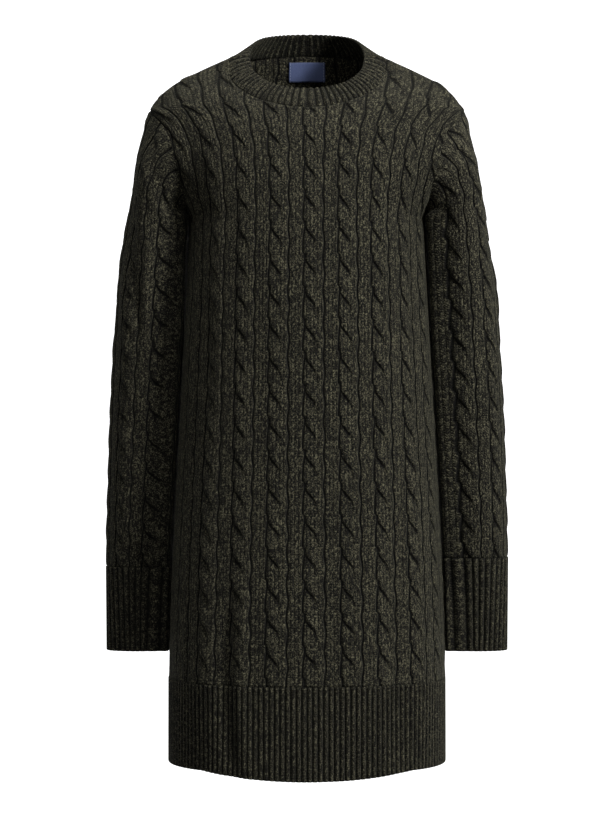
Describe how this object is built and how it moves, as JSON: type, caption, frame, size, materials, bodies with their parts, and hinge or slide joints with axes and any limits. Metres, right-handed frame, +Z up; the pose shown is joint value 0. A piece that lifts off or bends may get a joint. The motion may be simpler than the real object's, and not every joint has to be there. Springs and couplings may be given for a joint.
{
  "type": "sweater dress",
  "caption": "Cable-knit crew-neck sweater dress with long sleeves and ribbed neck, cuffs and hem, kept in the hollow form of its wearer",
  "frame": {"origin": "midway between the two points where a shoulder seam meets the neck rib", "axes": "+Z up, the front faces -Y, the wearer's left arm is on +X"},
  "size_m": [0.4747, 0.257, 0.8675],
  "materials": {
    "cable_knit": "soft matt wool yarn, dark olive",
    "rib_knit": "soft matt wool yarn, dark olive",
    "woven_label": "flat woven tape, navy, bare"
  },
  "bodies": {
    "root": {"front_panel": "cable_knit", "back_panel": "cable_knit", "sleeve_left": "cable_knit", "sleeve_right": "cable_knit", "cuff_left": "rib_knit", "cuff_right": "rib_knit", "hem_rib_front": "rib_knit", "hem_rib_back": "rib_knit", "neck_rib": "rib_knit", "neck_label": "woven_label"}
  },
  "joints": []
}
